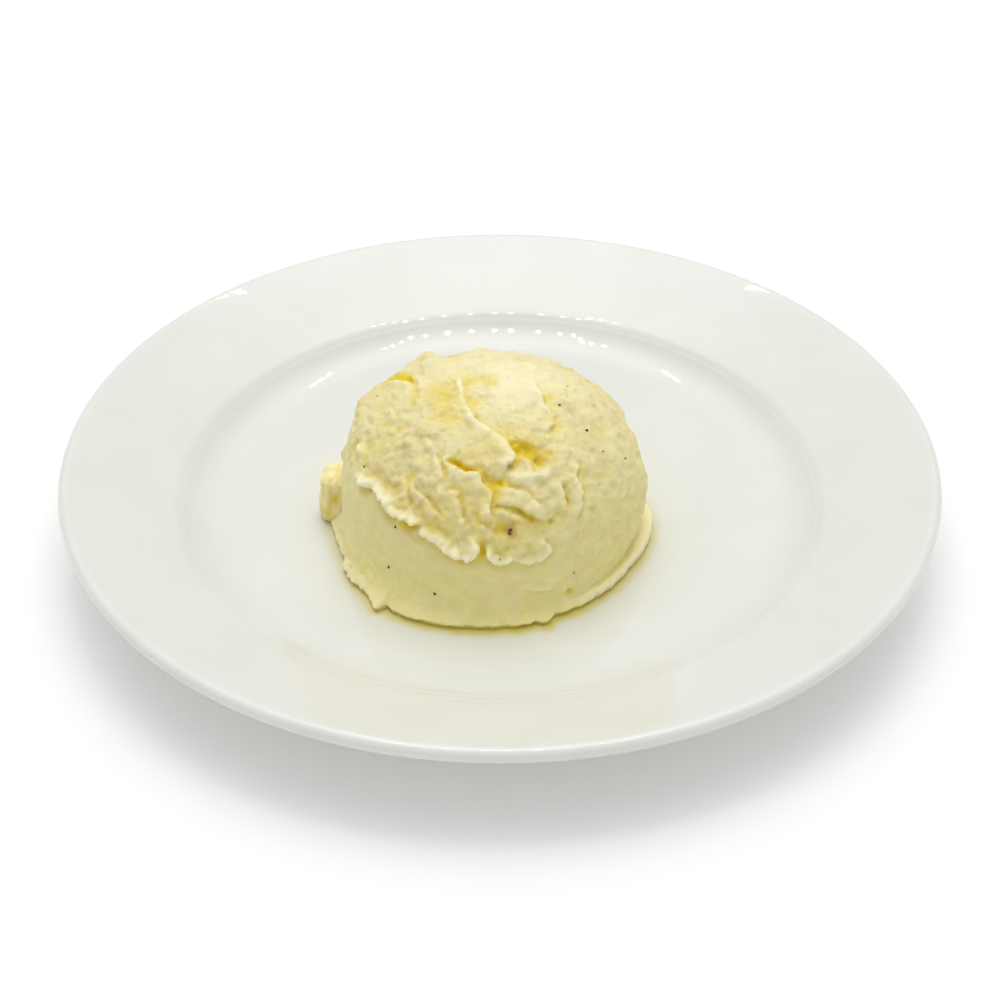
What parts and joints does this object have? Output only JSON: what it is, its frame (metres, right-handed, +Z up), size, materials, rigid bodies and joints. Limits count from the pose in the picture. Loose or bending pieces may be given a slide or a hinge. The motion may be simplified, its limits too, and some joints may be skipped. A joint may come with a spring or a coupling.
{
  "type": "mashed potato side on a plate",
  "caption": "Scooped mound of mashed potato with a torn, craggy top, served on a round wide-rimmed white plate.",
  "frame": {"origin": "centre of the plate's foot ring, on the table", "axes": "+Z up out of the plate; -Y towards the diner, the mound's best side; +X to the diner's right"},
  "size_m": [0.23, 0.23, 0.0499],
  "materials": {
    "glaze": "white glossy glaze",
    "potato": "moist, pale yellow, slightly translucent"
  },
  "bodies": {
    "root": {"plate": "glaze", "mash": "potato"}
  },
  "joints": []
}
